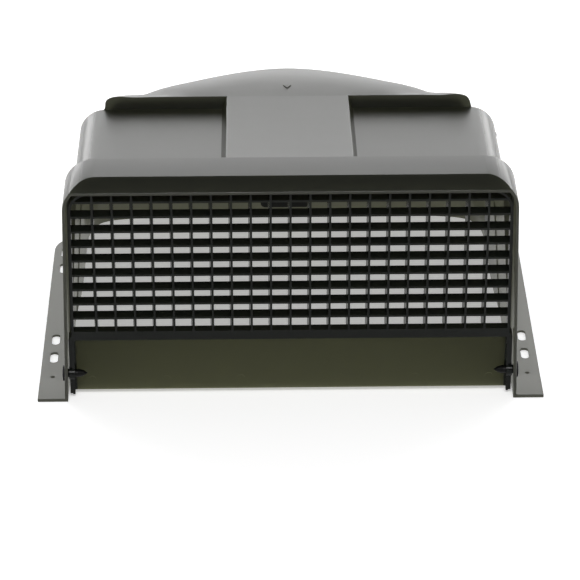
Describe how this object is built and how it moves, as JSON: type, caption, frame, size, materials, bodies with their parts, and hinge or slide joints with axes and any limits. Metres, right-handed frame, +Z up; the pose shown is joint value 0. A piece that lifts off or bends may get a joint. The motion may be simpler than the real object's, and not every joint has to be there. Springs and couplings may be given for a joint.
{
  "type": "roof vent cover",
  "caption": "Smoke-tinted plastic rain hood for a caravan roof vent, with a domed front, slotted side flanges and a louvred rear screen held by push clips.",
  "frame": {"origin": "middle of the footprint, on the roof", "axes": "+Z up, +X across the hood to the side of the right push clip, +Y from the louvred mouth towards the domed front"},
  "size_m": [0.482, 0.4589, 0.246],
  "materials": {
    "hood_plastic": "glossy smoke-tinted moulded plastic",
    "screen_plastic": "glossy smoke-tinted moulded plastic",
    "clip_plastic": "black nylon",
    "pad_foam": "dark closed-cell foam"
  },
  "bodies": {
    "hood": {"hood_shell": "hood_plastic", "front_pad": "pad_foam"},
    "screen": {"louvre_screen": "screen_plastic"},
    "left_clip": {"push_clip_left": "clip_plastic"},
    "right_clip": {"push_clip_right": "clip_plastic"}
  },
  "joints": [
    {"name": "screen_swing", "type": "hinge", "parent": "hood", "child": "screen", "pos_m": [0, -0.18251, 0.0278], "axis": [1, 0, 0], "range_deg": [0, 85]},
    {"name": "left_clip_pull", "type": "slide", "parent": "hood", "child": "left_clip", "axis": [-1, 0, 0], "range_m": [0, 0.024]},
    {"name": "right_clip_pull", "type": "slide", "parent": "hood", "child": "right_clip", "axis": [1, 0, 0], "range_m": [0, 0.024]}
  ]
}
